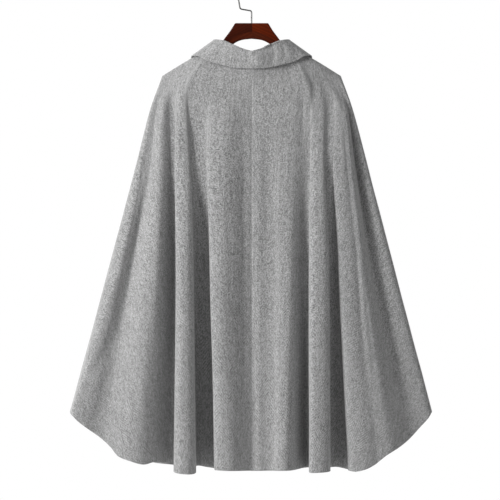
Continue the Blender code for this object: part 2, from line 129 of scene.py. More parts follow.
BACK_RIGHT = (
    Fold("centre seam", (3, 3, 3, 3, 3), (45, 46, 51, 61, 79), 0.4, 0.61, 0),
    Fold("seam crest", (12, 11, 14, 15, 15), (44, 47, 51, 62, 85), 0.62, 0.54, 0),
    Fold("seam hollow", (28, 34, 34, 36, 34), (43, 47, 48, 59, 83), 0.49, 0.76, 0),
    Fold("panel crest", (62, 91, 85, 87, 77), (37, 46, 51, 65, 101), 0.66, 0.43, 0),
    Fold("inner hollow", (90, 131, 133, 131, 135), (22, 43, 42, 34, 19), 0.31, 1.25, 0),
    Fold("round fold", (118, 155, 159, 154, 146), (21, 37, 67, 96, 110), 1.62, 1.35, 9),
    Fold("outer hollow", (147, 193, 179, 198, 208), (20, 30, 56, 51, 23), 1.02, 1.25, 0),
    Fold("wing crest", (166, 207, 214, 219, 256), (19, 35, 59, 78, 87), 1.19, 0.6, 0),
    Fold("wing dip", (180, 215, 228, 254, 303), (18, 35, 55, 71, 76), 0.16, 0.52, 0),
    Fold("wing second crest", (188, 222, 236, 262, 320), (18, 34, 54, 70, 74), 0.34, 0.51, 0),
    Fold("wing hollow", (196, 229, 247, 280, 379), (17, 20, 20, 32, 33), 0.2, 0.25, 0),
    Fold("side crest", (204, 236, 267, 315, 416), (15, 23, 32, 43, 31), 0.71, 1.39, 0),
    Fold("side seam", (212.5, 240.9, 272.0, 323.7, 429.5), (0, 0, 0, 0, 0), 0.0, 0.0, 0),
)

FRONT_LEFT = (
    Fold("front edge", (4, 4, 5, 6, 10), (60, 62, 68, 78, 90), 0.4, 0.5, -4),
    Fold("edge crest", (34, 46, 52, 58, 72), (52, 62, 74, 87, 102), 0.6, 1.2, 0),
    Fold("inner hollow", (64, 84, 96, 107, 122), (38, 48, 40, 30, 30), 1.1, 1.2, -4),
    Fold("round fold", (90, 122, 134, 145, 160), (22, 46, 69, 90, 104), 1.3, 1.3, 8),
    Fold("outer hollow", (134, 164, 177, 189, 206), (21, 36, 31, 25, 26), 1.2, 0.7, -2),
    Fold("wing crest", (160, 196, 214, 235, 272), (20, 38, 56, 70, 84), 0.8, 0.6, 0),
    Fold("wing hollow", (184, 222, 246, 282, 362), (18, 19, 20, 26, 36), 0.6, 0.6, 0),
    Fold("side crest", (202, 236, 264, 309, 410), (16, 16, 20, 28, 37), 0.6, 0.6, 0),
    Fold("side seam", (212.5, 241.4, 272.4, 325.4, 433), (0, 0, 0, 0, 0), 0.0, 0.0, 0),
)

FRONT_RIGHT = (
    Fold("front edge", (4, 4, 5, 6, 10), (60, 62, 68, 78, 90), 0.4, 0.5, -4),
    Fold("edge crest", (38, 50, 57, 65, 80), (51, 62, 74, 86, 99), 0.6, 1.1, 0),
    Fold("inner hollow", (66, 92, 106, 119, 134), (34, 46, 40, 32, 32), 1.0, 1.2, -4),
    Fold("round fold", (90, 128, 141, 153, 170), (22, 45, 68, 87, 101), 1.3, 1.3, 6),
    Fold("outer hollow", (138, 168, 181, 194, 212), (21, 34, 30, 26, 27), 1.2, 0.8, -2),
    Fold("wing crest", (164, 200, 217, 236, 268), (20, 37, 55, 68, 82), 0.9, 0.6, 0),
    Fold("wing hollow", (186, 224, 248, 284, 358), (18, 19, 20, 28, 38), 0.6, 0.6, 0),
    Fold("side crest", (202, 236, 264, 309, 408), (16, 16, 19, 27, 36), 0.6, 0.6, 0),
    Fold("side seam", (212.5, 240.9, 272.0, 323.7, 429.5), (0, 0, 0, 0, 0), 0.0, 0.0, 0),
)

# One row for each small crease, in millimetres. line: its run as (across, height) from its upper end.
# inner, outer: how far it spreads towards the centre and towards the side. rise: above 0 for a ridge and
# below for a trough.
Crease = namedtuple("Crease", "name line inner outer rise")

BACK_LEFT_CREASES = (
    Crease("seam allowance edge", ((18, -250), (18, -600), (17, -1172)), 3, 9, -1.4),
    Crease("seam allowance", ((9, -240), (9, -700), (9, -1174)), 6, 6, 0.7),
    Crease("panel streak", ((50, -420), (56, -800), (60, -1120)), 10, 8, -1.0),
    Crease("panel edge ridge", ((94, -620), (84, -950), (80, -1320)), 34, 8, 5.0),
    Crease("shoulder line", ((100, -230), (104, -330), (104, -420)), 6, 8, -0.8),
    Crease("shoulder ridge", ((176, -300), (166, -420), (160, -560)), 7, 7, 1.2),
    Crease("wing long ridge", ((222, -300), (240, -560), (266, -800), (300, -1060)), 9, 12, 2.0),
    Crease("wing inner trough", ((228, -500), (238, -800), (250, -1100)), 10, 10, -1.6),
    Crease("wing slant trough", ((330, -830), (352, -900), (392, -965)), 14, 10, -3.0),
    Crease("side long trough", ((226, -290), (262, -480), (318, -760), (362, -930)), 10, 8, -2.4),
)
BACK_RIGHT_CREASES = (
    Crease("panel dimple", ((30, -610), (25, -680), (24, -730)), 5, 5, -1.6),
    Crease("panel fine ridge", ((24, -330), (27, -600), (30, -900)), 8, 8, 0.9),
    Crease("panel second ridge", ((62, -420), (66, -700), (64, -1000)), 9, 11, 1.1),
    Crease("shoulder line", ((120, -250), (124, -420)), 7, 7, -0.9),
    Crease("wing fine ridge", ((252, -600), (268, -800), (292, -1040)), 5, 5, 1.6),
    Crease("wing fine trough", ((244, -560), (258, -800), (276, -1060)), 6, 6, -1.3),
    Crease("side slant trough", ((232, -290), (268, -560), (318, -840), (362, -1060)), 9, 14, -2.2),
    Crease("side fine ridge", ((262, -420), (330, -760), (392, -1010)), 9, 9, 1.4),
)
FRONT_LEFT_CREASES = (
    Crease("edge streak", ((22, -420), (30, -760), (40, -1120)), 9, 9, -1.2),
    Crease("panel edge ridge", ((80, -560), (92, -840), (98, -1150)), 8, 6, 1.5),
    Crease("shoulder line", ((112, -240), (118, -400)), 7, 7, -0.9),
    Crease("wing long ridge", ((206, -320), (244, -640), (300, -1060)), 9, 11, 1.8),
    Crease("wing slant trough", ((296, -720), (340, -900), (380, -1000)), 12, 10, -2.4),
    Crease("side long trough", ((228, -300), (280, -600), (340, -860)), 9, 9, -2.0),
)
FRONT_RIGHT_CREASES = (
    Crease("edge streak", ((26, -380), (32, -700), (46, -1080)), 8, 10, -1.3),
    Crease("panel edge ridge", ((90, -600), (104, -900), (110, -1150)), 8, 6, 1.3),
    Crease("shoulder line", ((108, -240), (112, -430)), 6, 8, -0.8),
    Crease("wing fine ridge", ((214, -360), (250, -700), (290, -1000)), 7, 9, 1.7),
    Crease("wing slant trough", ((286, -680), (330, -880), (372, -1010)), 10, 12, -2.0),
    Crease("side long trough", ((230, -330), (272, -560), (330, -850)), 10, 8, -2.2),
)

# Collar: one row for each direction round the neck, 0 degrees behind and 180 in front, in millimetres.
Station = namedtuple("Station", "angle roll edge")

COLLAR = (
    Station(0, (0, 49, -174.0), (0, 52, -216.2)),
    Station(16, (23, 48, -167.6), (32, 51, -215.2)),
    Station(33, (47, 43, -157.0), (63, 48, -209.3)),
    Station(52, (68, 33, -147.8), (102, 41, -198.0)),
    Station(72, (84, 17, -144.6), (131, 29, -183.6)),
    Station(90, (89, 0, -143.9), (143.5, 0, -182.3)),
    Station(108, (84, -19, -149.8), (146, -26, -189.0)),
    Station(128, (68, -38, -166.0), (138, -48, -212.0)),
    Station(150, (42, -57, -192.0), (115, -62, -250.0)),
    Station(171, (16, -68, -213.0), (84, -69, -290.0)),
)
COLLAR_END_ANGLE = 171
COLLAR_STEP_ANGLE = 1.5

# One row for each small crease of the collar's fall behind, in millimetres. line: its run as (across,
# height) from its upper end, with the wearer's left above 0. left, right: how far it spreads each way.
CollarCrease = namedtuple("CollarCrease", "name line left right rise")

COLLAR_CREASES = (
    CollarCrease("ridge from the roll's point", ((0, -180), (-6, -192), (-14, -208)), 4, 34, 6.5),
    CollarCrease("curved dent edge", ((-46, -158), (-57, -172), (-57, -188), (-50, -204)), 22, 4, -3.0),
    CollarCrease("upright dent", ((-76, -158), (-78, -175), (-77, -192)), 4, 4, -1.3),
    CollarCrease("wide dent", ((-102, -160), (-105, -180), (-103, -196)), 9, 15, -1.7),
    CollarCrease("left dent", ((77, -158), (78, -172), (76, -182)), 3.5, 3.5, -1.0),
    CollarCrease("left ridge", ((52, -160), (50, -180), (46, -200)), 7, 9, 0.8),
    CollarCrease("left outer dent", ((104, -166), (108, -180)), 5, 5, -0.8),
)
# How far a collar crease runs on past its ends, and how rounded it is across: 2 is soft and 1 is sharp
COLLAR_CREASE_ENDS = 0.006
COLLAR_CREASE_ROUNDNESS = 1.25
# The collar's creases reach their full height this far behind the shoulder plane
COLLAR_BEHIND = 0.02
ROLL_RADIUS = 0.005
ROLL_TURNS = range(180, 29, -15)
ROLL_STAND_SHARE = 0.18
STAND_LIFT, SIDE_STAND_LIFT = 0.0007, 0.0050
STAND_TOP_GAP = 0.0013
STAND_UPRIGHT = 0.002
STAND_ROWS = 12
FALL_BOW = 0.004
FALL_ROWS = 16

# Hanger: half of the wooden outline, from the centre of its top to the tip and back under the arm
WOOD_THICKNESS = 0.014
WOOD_ROUNDING = 0.0045
WOOD_OUTLINE = (
    (0.0400, -0.1051),
    (0.0455, -0.1143),
    (0.0513, -0.1235),
    (0.0583, -0.1330),
    (0.0675, -0.1455),
    (0.0755, -0.1600),
    (0.0840, -0.1705),
    (0.0980, -0.1775),
    (0.1400, -0.1945),
    (0.1900, -0.2240),
    (0.2010, -0.2328),
    (0.2040, -0.2385),
    (0.2000, -0.2445),
    (0.1900, -0.2465),
    (0.1300, -0.2140),
    (0.0850, -0.1905),
    (0.0600, -0.1697),
    (0.0420, -0.1538),
    (0.0240, -0.1455),
    (0.0000, -0.1425),
)

# Studio
CAMERA_DISTANCE = 9.0
VIEW_WIDTH = 1.2
VIEW_CENTRE = (0.0038, -0.6494)
SENSOR = 36.0
FLOOR_Z = -1.75
FLOOR_RADIUS = 6.0
BACKDROP_LIGHT = 1.0
ROOM_LIGHT = 0.16


def track(stations, values, at):
    """A smooth line through a few stations that doesn't overshoot between them."""
    stations = np.asarray(stations, float)
    values = np.asarray(values, float)
    at = np.asarray(at, float)
    width = np.diff(stations)
    rise = np.diff(values) / width
    slope = np.zeros_like(values)
    slope[0], slope[-1] = rise[0], rise[-1]
    for i in range(1, len(values) - 1):
        if rise[i - 1] * rise[i] > 0:
            slope[i] = 2 * rise[i - 1] * rise[i] / (rise[i - 1] + rise[i])
    i = np.clip(np.searchsorted(stations, at, side="right") - 1, 0, len(width) - 1)
    t = (at - stations[i]) / width[i]
    start = (1 + 2 * t) * (1 - t) ** 2 * values[i] + t * (1 - t) ** 2 * width[i] * slope[i]
    end = t * t * (3 - 2 * t) * values[i + 1] + t * t * (t - 1) * width[i] * slope[i + 1]
    return start + end


def bezier(start, start_handle, end_handle, end, t):
    t = np.asarray(t, float)[:, None]
    near = (1 - t) ** 3 * start + 3 * (1 - t) ** 2 * t * start_handle
    return near + 3 * (1 - t) * t * t * end_handle + t**3 * end


def smooth(t):
    t = np.clip(t, 0, 1)
    return t * t * (3 - 2 * t)


def unit(vectors):
    return vectors / np.maximum(np.linalg.norm(vectors, axis=-1, keepdims=True), 1e-12)


def top_edge(across, neck_depth, neck_fall):
    """Distance from the shoulder plane and height of a panel's neckline and shoulder seam."""
    round_neck = np.sqrt(np.clip(1 - (across / NECK_HALF_WIDTH) ** 2, 0, 1))
    on_neck = across < NECK_HALF_WIDTH
    depth = np.where(on_neck, neck_depth * round_neck, 0.0)
    shoulder = track(SHOULDER_ACROSS, SHOULDER_HEIGHT, across)
    height = np.where(on_neck, NECK_POINT_Z - neck_fall * round_neck, shoulder)
    return depth, height


def section(folds, share, steps):
    """One level of a panel, from the centre seam to the side seam: rows of (across, depth)."""
    across = [track(LEVELS, fold.across, share) / 1000 for fold in folds]
    depth = [track(LEVELS, fold.depth, share) / 1000 for fold in folds]
    curl = track(CURL_LEVELS, CURL_SHARES, share)
    points = [np.array([[0.0, depth[0]], [across[0] / 2, depth[0]], [across[0], depth[0]]])]
    for i, count in enumerate(steps):
        here, there = folds[i], folds[i + 1]
        start = np.array([across[i], depth[i]])
        gap = across[i + 1] - across[i]
        reach = PLAIN_REACH + (here.outer - PLAIN_REACH) * curl
        start_handle = start + (reach * gap, 0)
        if i < len(steps) - 1:
            end = np.array([across[i + 1], depth[i + 1]])
            reach = PLAIN_REACH + (there.inner - PLAIN_REACH) * curl
            end_handle = end - (reach * gap, 0)
        else:
            end = np.array([across[i + 1], SEAM_STRIP])
            end_handle = end + (0, SIDE_REACH * depth[i])
        t = np.linspace(0, 1, count + 1)[1:]
        points.append(bezier(start, start_handle, end_handle, end, t))
    points.append(np.array([[across[-1], SEAM_STRIP / 2], [across[-1], 0.0]]))
    return np.vstack(points)


def fold_steps(folds):
    """How many strips each fold gets, from its length along the hem."""
    counts = []
    for i in range(len(folds) - 1):
        trial = [1] * (len(folds) - 1)
        trial[i] = TRIAL_STEPS
        hem = section(folds, 1.0, trial)[2 + i : 3 + i + TRIAL_STEPS]
        length = np.linalg.norm(np.diff(hem, axis=0), axis=1).sum()
        counts.append(max(FEWEST_COLUMNS, round(length / COLUMN_STEP)))
    return counts


def hem_drops(folds, steps):
    drops = [folds[0].drop] * 3
    for i, count in enumerate(steps):
        eased = smooth(np.linspace(0, 1, count + 1)[1:])
        drops.extend(folds[i].drop + (folds[i + 1].drop - folds[i].drop) * eased)
    drops.extend([folds[-1].drop] * 2)
    return np.array(drops) / 1000


def panel_points(folds, hem, neck_depth, neck_fall):
    """A panel's outer face as a grid of (across, depth, height), a row for each level."""
    steps = fold_steps(folds)
    below = np.arange(SHOULDER_DROPS[-1] + ROW_STEP, PANEL_LENGTH - ROW_STEP / 2, ROW_STEP)
    shares = np.concatenate([SHOULDER_DROPS, below, [PANEL_LENGTH]]) / PANEL_LENGTH
    rows = np.array([section(folds, share, steps) for share in shares])
    across, depth = rows[:, :, 0], rows[:, :, 1]
    top_depth, top_height = top_edge(across[0], neck_depth, neck_fall)
    plain = track(hem[0], hem[1], across[-1] * 1000) / 1000
    hem_height = plain - hem_drops(folds, steps)
    height = top_height + shares[:, None] * (hem_height - top_height)
    fallen = np.clip((top_height - height) / SHOULDER_ROUND, 0, 1)
    rounded = np.sqrt(1 - (1 - fallen) ** 2)
    strip = np.full(len(shares), SEAM_STRIP)
    strip[0] = 0.0
    on_shoulder = across[0] >= NECK_HALF_WIDTH
    start = np.where(on_shoulder, np.minimum(strip[:, None], depth), top_depth)
    return np.stack([across, start + (depth - start) * rounded, height], axis=-1)


def along_rows(grid):
    """Arc length across each row, from the centre seam."""
    step = np.linalg.norm(np.diff(grid, axis=1), axis=2)
    return np.concatenate([np.zeros((len(grid), 1)), np.cumsum(step, axis=1)], axis=1)


def down_columns(grid):
    """Arc length down each column, from the shoulder."""
    step = np.linalg.norm(np.diff(grid, axis=0), axis=2)
    return np.concatenate([np.zeros((1, grid.shape[1])), np.cumsum(step, axis=0)], axis=0)


def outward(grid):
    """The way out of the cloth at each point of a panel's grid."""
    out = np.cross(np.gradient(grid, axis=0), np.gradient(grid, axis=1))
    out = unit(out)
    return np.where(out[:, :, 1:2].mean(axis=(0, 1)) < 0, -out, out)


def crease_height(crease, grid, over):
    """How far one crease lifts each point of the cloth that shows over the rest of its row."""
    line = np.array(crease.line, float) / 1000
    line = line[::-1]
    lift = np.zeros(grid.shape[:2])
    top, foot = line[-1, 1], line[0, 1]
    for r, row in enumerate(grid):
        middle = np.interp(row[:, 2], line[:, 1], line[:, 0])
        beyond = row[:, 0] - middle
        crossings = np.nonzero((beyond[:-1] <= 0) != (beyond[1:] <= 0))[0]
        if not len(crossings):
            continue
        c = max(crossings, key=lambda k: row[k, 1])
        t = beyond[c] / (beyond[c] - beyond[c + 1])
        height = row[c, 2]
        fade = (top - foot) * CREASE_FADE
        ends = smooth((top - height) / fade) * smooth((height - foot) / fade)
        if ends <= 0:
            continue
        away = (over[r] - (over[r, c] + t * (over[r, c + 1] - over[r, c]))) * 1000
        spread = np.where(away < 0, crease.inner, crease.outer)
        lift[r] = ends * crease.rise / 1000 * np.exp(-((away / spread) ** 2))
    return lift


def eased_shoulder(grid, over, down):
    """The panel with its folds made shallower near the shoulder, where the cloth lies smooth."""
    made = grid.copy()
    width = np.gradient(over, axis=1)
    for r, row in enumerate(grid):
        apart = over[r][:, None] - over[r][None, :]
        near = np.exp(-((apart / SHOULDER_EASE_SPREAD) ** 2)) * width[r]
        made[r, :, 1] = near @ row[:, 1] / near.sum(axis=1)
    ends = smooth(over / SHOULDER_EASE_CLEAR) * smooth((over[:, -1:] - over) / SHOULDER_EASE_CLEAR)
    ending = smooth((down - SHOULDER_EASE_START) / (SHOULDER_EASE_END - SHOULDER_EASE_START))
    share = (1 - ending) * ends * smooth(down / CREASE_CLEAR)
    return grid + (made - grid) * share[:, :, None]


def creased(grid, creases, seed):
    """The panel with its small creases, its own unevenness and its sunk seams."""
    over, down = along_rows(grid), down_columns(grid)
    rows, columns = grid.shape[:2]
    grid = eased_shoulder(grid, over, down)
    lift = sum(crease_height(crease, grid, over) for crease in creases)
    for r in range(rows):
        for c in range(columns):
            place = Vector((over[r, c] / WAVER_ACROSS, down[r, c] / WAVER_ALONG, seed))
            lift[r, c] += WAVER * noise.noise(place)
    from_side = over[:, -1:] - over
    clear = smooth(over / CREASE_CLEAR) * smooth(from_side / CREASE_CLEAR) * smooth(down / CREASE_CLEAR)
    made = grid + outward(grid) * (lift * clear)[:, :, None]
    shoulder = grid[0, :, 0] >= NECK_HALF_WIDTH
    made[:, :, 1] -= SEAM_SINK * np.exp(-((over / SEAM_SPREAD) ** 2)) * smooth(down / SEAM_FLAT)
    made[:, :, 0] -= SEAM_SINK * np.exp(-((from_side / SEAM_SPREAD) ** 2)) * smooth(down / CREASE_CLEAR)
    made[:, :, 2] -= SEAM_SINK * np.exp(-((down / SEAM_SPREAD) ** 2)) * shoulder
    return made


def flat_cut(grid):
    """The panel laid flat, its centre edge along the grain. Each column turns by what it spreads."""
    down = down_columns(grid)
    length = down[-1]
    top_step = np.diff(grid[0], axis=0)
    hem_step = np.diff(grid[-1], axis=0)
    way = unit(grid[4] - grid[0])
    turn, place = 0.0, np.zeros(2)
    cut = np.zeros(grid.shape[:2] + (2,))
    for c in range(grid.shape[1]):
        if c:
            step = top_step[c - 1]
            along = float(step @ way[c]) if np.linalg.norm(step) > 0 else 0.0
            square = math.sqrt(max(float(step @ step) - along * along, 0.0))
            spread = max(float(np.linalg.norm(hem_step[c - 1])) - square, 0.0)
            middle = turn + spread / length[c] / 2
            place = place + square * np.array([math.cos(middle), math.sin(middle)])
            place = place + along * np.array([math.sin(middle), -math.cos(middle)])
            turn += spread / length[c]
        cut[:, c] = place + down[:, c : c + 1] * np.array([math.sin(turn), -math.cos(turn)])
    return cut


def sheet_mesh(name, grid, cut, flip, thickness, finish):
    """One sheet of cloth through a grid of points, its wall on the inside, its flat cut as its map."""
    rows, columns = grid.shape[:2]
    mesh = bpy.data.meshes.new(name)
    shape = bmesh.new()
    uv = shape.loops.layers.uv.new("cut")
    points = [[shape.verts.new(p) for p in row] for row in grid]
    for r in range(rows - 1):
        for c in range(columns - 1):
            at = [(r, c), (r + 1, c), (r + 1, c + 1), (r, c + 1)]
            at = at[::-1] if flip else at
            face = shape.faces.new([points[i][j] for i, j in at])
            face.smooth = True
            for loop, (i, j) in zip(face.loops, at):
                loop[uv].uv = cut[i, j]
    bmesh.ops.remove_doubles(shape, verts=shape.verts, dist=0.000001)
    shape.to_mesh(mesh)
    shape.free()
    mesh.materials.append(finish)
    made = bpy.data.objects.new(name, mesh)
    bpy.context.scene.collection.objects.link(made)
    wall = made.modifiers.new("cloth thickness", "SOLIDIFY")
    wall.thickness = thickness
    wall.offset = -1
    edge = made.modifiers.new("rounded edge", "BEVEL")
    edge.width = HEM_ROUNDING
    edge.segments = 2
    edge.limit_method = "ANGLE"
    edge.angle_limit = math.radians(60)
    edge.harden_normals = False
    return made


def panel(name, folds, hem, creases, side, face, seed, finish):
    """One cloth panel. side is 1 for the wearer's left, and face is 1 for the back."""
    if face > 0:
        grid = panel_points(folds, hem, BACK_NECK_DEPTH, BACK_NECK_FALL)
    else:
        grid = panel_points(folds, hem, FRONT_NECK_DEPTH, FRONT_NECK_FALL)
    cut = flat_cut(grid) * (side, 1)
    grid = creased(grid, creases, seed) * (side, face, 1)
    return sheet_mesh(name, grid, cut, side * face < 0, CLOTH, finish)


def collar_guides():
    """The neck seam, roll line and outer edge all the way round, from right front to left front."""
    at = np.arange(-COLLAR_END_ANGLE, COLLAR_END_ANGLE + COLLAR_STEP_ANGLE / 2, COLLAR_STEP_ANGLE)
    angles = [station.angle for station in COLLAR]
    turn = np.radians(at)
    behind = np.cos(turn) >= 0
    neck_depth = np.where(behind, BACK_NECK_DEPTH, FRONT_NECK_DEPTH)
    neck_fall = np.where(behind, BACK_NECK_FALL, FRONT_NECK_FALL)
    height = NECK_POINT_Z - neck_fall * abs(np.cos(turn))
    neck = np.stack([NECK_HALF_WIDTH * np.sin(turn), neck_depth * np.cos(turn), height], axis=-1)
    guides = []
    for line in ("roll", "edge"):
        points = np.array([getattr(station, line) for station in COLLAR]) / 1000
        parts = [track(angles, points[:, k], abs(at)) for k in range(3)]
        guides.append(np.stack([np.sign(at) * parts[0], parts[1], parts[2]], axis=-1))
    return turn, neck, guides[0], guides[1]


def collar_frame(roll, edge):
    """At each station: the way out across the roll, and the way up square to the roll and to that."""
    along = unit(np.gradient(roll, axis=0))
    out = edge - roll
    out = out - (out * along).sum(-1, keepdims=True) * along
    out[:, 2] = 0
    out = unit(out)
    up = unit(np.cross(out, along))
    up = np.where(up[:, 2:] < 0, -up, up)
    return out, up


def collar_creased(grid):
    """The collar's fall with its small creases behind."""
    out = np.cross(np.gradient(grid, axis=1), np.gradient(grid, axis=0))
    out = unit(out)
    middle = out.shape[1] // 2
    out = -out if out[-1, middle, 1] < 0 else out
    lift = np.zeros(grid.shape[:2])
    for crease in COLLAR_CREASES:
        line = np.array(crease.line, float)[::-1] / 1000
        across = np.interp(grid[:, :, 2], line[:, 1], line[:, 0])
        away = (across - grid[:, :, 0]) * 1000
        spread = np.where(away < 0, crease.left, crease.right)
        top, foot = line[-1, 1], line[0, 1]
        above = smooth((top - grid[:, :, 2]) / COLLAR_CREASE_ENDS + 1)
        below = smooth((grid[:, :, 2] - foot) / COLLAR_CREASE_ENDS + 1)
        ridge = np.exp(-((abs(away) / spread) ** COLLAR_CREASE_ROUNDNESS))
        lift += above * below * crease.rise / 1000 * ridge
    behind = smooth(grid[:, :, 1] / COLLAR_BEHIND)
    past_roll = (np.arange(len(grid)) > len(ROLL_TURNS) // 2)[:, None]
    return grid + out * (lift * behind * past_roll)[:, :, None]


def collar_map(grid):
    """The collar laid flat: along the roll, and down from it."""
    over = along_rows(grid)
    middle = over.shape[1] // 2
    along = (over - over[:, middle : middle + 1]).mean(axis=0)
    return np.stack([np.broadcast_to(along, over.shape), -down_columns(grid)], axis=-1)


def collar_fall(finish):
    turn, neck, roll, edge = collar_guides()
    out, up = collar_frame(roll, edge)
    centre = roll - up * ROLL_RADIUS
    rows = [centre - out * ROLL_RADIUS + (neck - roll) * ROLL_STAND_SHARE]
    for degrees in ROLL_TURNS:
        over = math.radians(degrees)
        rows.append(centre + ROLL_RADIUS * (out * math.cos(over) + up * math.sin(over)))
    start = rows[-1]
    for share in np.linspace(0, 1, FALL_ROWS + 1)[1:]:
        bow = FALL_BOW * 4 * share * (1 - share) * np.cos(turn)[:, None] ** 2
        rows.append(start + (edge - start) * share + (out + up / 2) * bow)
    grid = np.array(rows)
    cut = collar_map(grid)
    return sheet_mesh("collar_fall_cloth", collar_creased(grid), cut, True, COLLAR_CLOTH, finish)


def collar_stand(finish):
    turn, neck, roll, edge = collar_guides()
    out, up = collar_frame(roll, edge)
    top = roll - up * ROLL_RADIUS - out * ROLL_RADIUS + (neck - roll) * ROLL_STAND_SHARE
    along = unit(np.gradient(neck, axis=0))
    sideways = (neck[:, :1] / NECK_HALF_WIDTH) ** 4
    foot = neck + unit((0, 0, 1) - along * along[:, 2:]) * (STAND_LIFT + SIDE_STAND_LIFT * sideways)
    upright = foot + (0, 0, STAND_UPRIGHT)
    start = top + unit(upright - top) * STAND_TOP_GAP
    rows = [start + (upright - start) * share for share in np.linspace(0, 1, STAND_ROWS)] + [foot]
    grid = np.array(rows)
    return sheet_mesh("collar_stand_cloth", grid, collar_map(grid), True, COLLAR_CLOTH, finish)


class Socket:
    """A value that a node gives. Arithmetic on it adds Math nodes."""

    def __init__(self, finish, socket):
        self.finish = finish
        self.socket = socket

    def __add__(self, other):
        return self.finish.math("ADD", self, other)

    def __sub__(self, other):
        return self.finish.math("SUBTRACT", self, other)

    def __rsub__(self, other):
        return self.finish.math("SUBTRACT", other, self)

    def __mul__(self, other):
        return self.finish.math("MULTIPLY", self, other)

    def __truediv__(self, other):
        return self.finish.math("DIVIDE", self, other)

    def __lt__(self, other):
        return self.finish.math("LESS_THAN", self, other)

    def __abs__(self):
        return self.finish.math("ABSOLUTE", self)

    __radd__ = __add__
    __rmul__ = __mul__


class Finish:
    """A material in the making, with the one method that adds its nodes."""

    def __init__(self, name, **constants):
        self.made = bpy.data.materials.new(name)
        self.made.use_nodes = True
        self.tree = self.made.node_tree
        self.shader = self.tree.nodes["Principled BSDF"]
        for key, value in constants.items():
            self.shader.inputs[key.replace("_", " ")].default_value = value

    def node(self, kind, settings=None, sockets=None, out=0):
        made = self.tree.nodes.new(kind)
        for key, value in (settings or {}).items():
            setattr(made, key, value)
        for key, value in (sockets or {}).items():
            if isinstance(value, Socket):
                self.tree.links.new(value.socket, made.inputs[key])
            else:
                made.inputs[key].default_value = value
        return Socket(self, made.outputs[out])

    def math(self, operation, *values):
        return self.node("ShaderNodeMath", {"operation": operation}, dict(enumerate(values)))

    def parts(self, vector):
        split = vector.finish.node("ShaderNodeSeparateXYZ", None, {0: vector}).socket.node
        return [Socket(self, split.outputs[k]) for k in range(3)]

    def vector(self, x, y, z=0.0):
        return self.node("ShaderNodeCombineXYZ", None, {0: x, 1: y, 2: z})

    def noise(self, vector, scale, detail=2.0, roughness=0.5):
        sockets = {"Vector": vector, "Scale": scale, "Detail": detail, "Roughness": roughness}
        return self.node("ShaderNodeTexNoise", {"noise_dimensions": "3D"}, sockets)

    def white_noise(self, across, along):
        """A tone of its own for each whole number across and along."""
        sockets = {"Vector": self.vector(across, along)}
        return self.node("ShaderNodeTexWhiteNoise", {"noise_dimensions": "2D"}, sockets)

    def mix(self, share, first, second):
        """One colour where share is 0 and the other where it is 1."""
        sockets = {"Factor": share, 6: first, 7: second}
        return self.node("ShaderNodeMix", {"data_type": "RGBA"}, sockets, 2)

    def step(self, value, low, high):
        """0 below low, 1 above high, eased between."""
        sockets = {0: value, 1: low, 2: high, 3: 0.0, 4: 1.0}
        return self.node("ShaderNodeMapRange", {"interpolation_type": "SMOOTHSTEP"}, sockets)

    def give(self, **values):
        for key, value in values.items():
            self.tree.links.new(value.socket, self.shader.inputs[key.replace("_", " ")])

    def bump(self, height, strength, distance):
        sockets = {"Strength": strength, "Distance": distance, "Height": height}
        return self.node("ShaderNodeBump", None, sockets)


def grey(value):
    return (value, value, value, 1.0)


# Herringbone: the width of a column of one slant, and the spacing of the warp and weft yarns
HERRINGBONE_COLUMN = 0.0195
WARP_YARN, WEFT_YARN = 0.0013, 0.0019
LIGHT_YARN, DARK_YARN = grey(0.40), grey(0.10)
# Yarns in one repeat of the twill, and from where to where down the cut it grows clearer
TWILL_REPEAT = 4.0
TWILL_CLEARS = (-0.35, -0.78)
# How far each of these sways the share of light yarn from a half
TWILL_HIGH, TWILL_LOW, TWILL_PATCHES = 0.05, 0.12, 0.18
STITCHES, LONG_FLOATS, FLECKS, CLOUDS = 0.68, 0.32, 1.15, 0.12
STREAKS_HIGH, STREAKS_LOST_LOW = 0.56, 0.14


